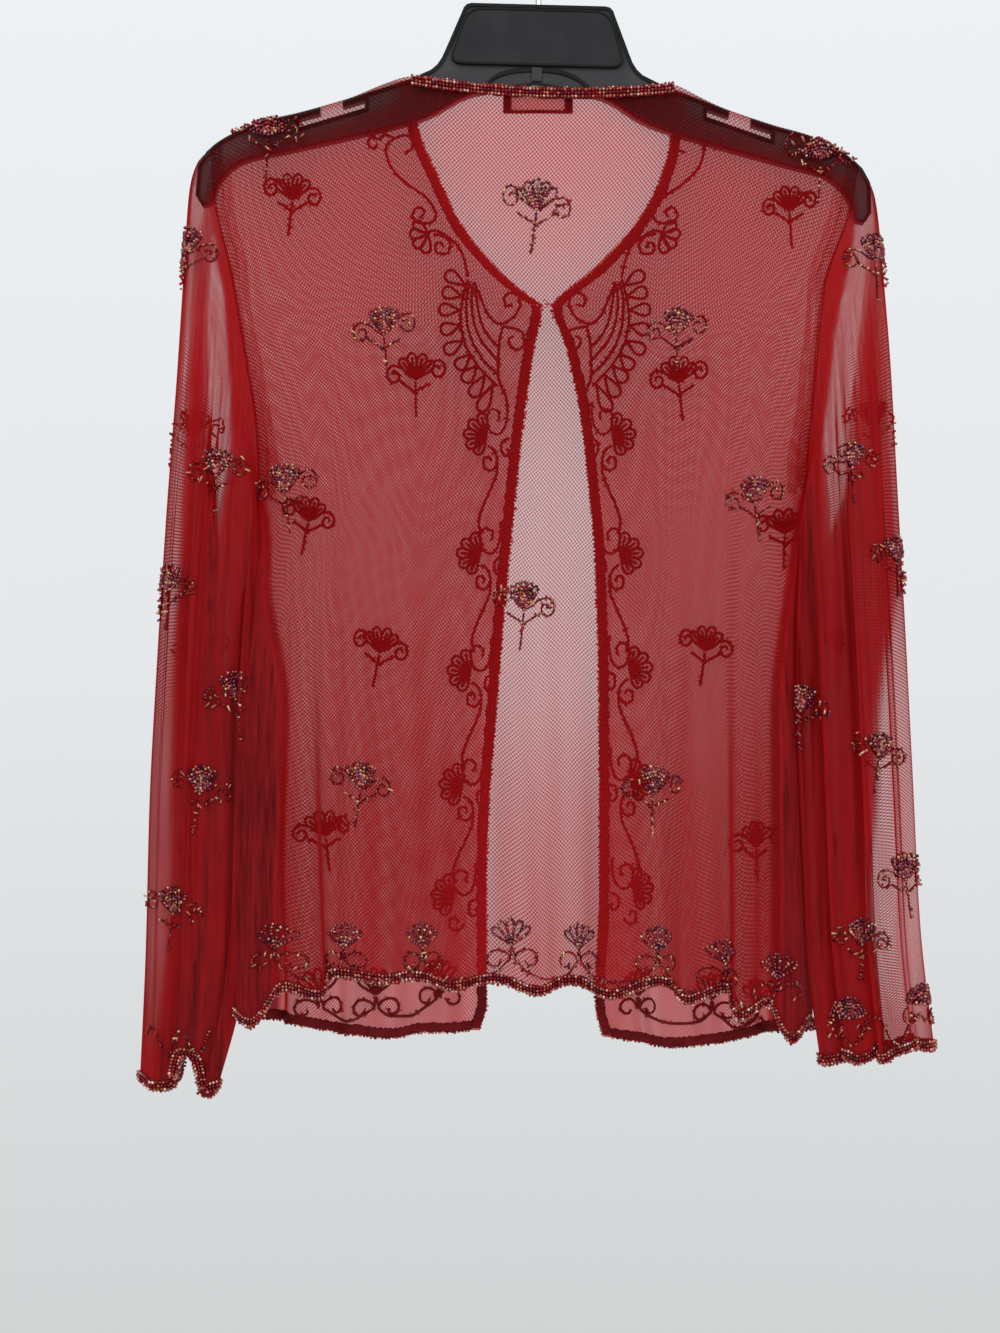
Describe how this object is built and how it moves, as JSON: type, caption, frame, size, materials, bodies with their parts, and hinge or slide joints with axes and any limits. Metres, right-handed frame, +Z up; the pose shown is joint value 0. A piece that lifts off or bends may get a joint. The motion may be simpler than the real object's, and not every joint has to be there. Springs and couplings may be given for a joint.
{
  "type": "beaded net jacket on a hanger",
  "caption": "Sheer net open-front jacket with long sleeves, V neck, beaded borders and a hook-and-eye fastener, hanging on a black plastic hanger.",
  "frame": {"origin": "inside top of the hanger's hook, where a rail carries it", "axes": "+Z up; the jacket's back faces -Y and its fronts face +Y; +X is the wearer's right"},
  "size_m": [0.5048, 0.0603, 0.7475],
  "materials": {
    "net": "sheer matte net",
    "beaded_border": "rows of small glass beads on a dark red binding",
    "label": "woven, bare",
    "hanger_plastic": "moulded, semi-gloss",
    "wire": "bright plated wire"
  },
  "bodies": {
    "root": {"back_panel": "net", "front_left": "net", "front_right": "net", "sleeve_left": "net", "sleeve_right": "net", "neck_band_back": "beaded_border", "neck_band_left": "beaded_border", "neck_band_right": "beaded_border", "edge_band_left": "beaded_border", "edge_band_right": "beaded_border", "hem_band_back": "beaded_border", "hem_band_left": "beaded_border", "hem_band_right": "beaded_border", "cuff_band_left": "beaded_border", "cuff_band_right": "beaded_border", "neck_label": "label", "closure_hook": "wire", "closure_eye": "wire", "hanger_body": "hanger_plastic", "hanger_hook": "wire"}
  },
  "joints": []
}
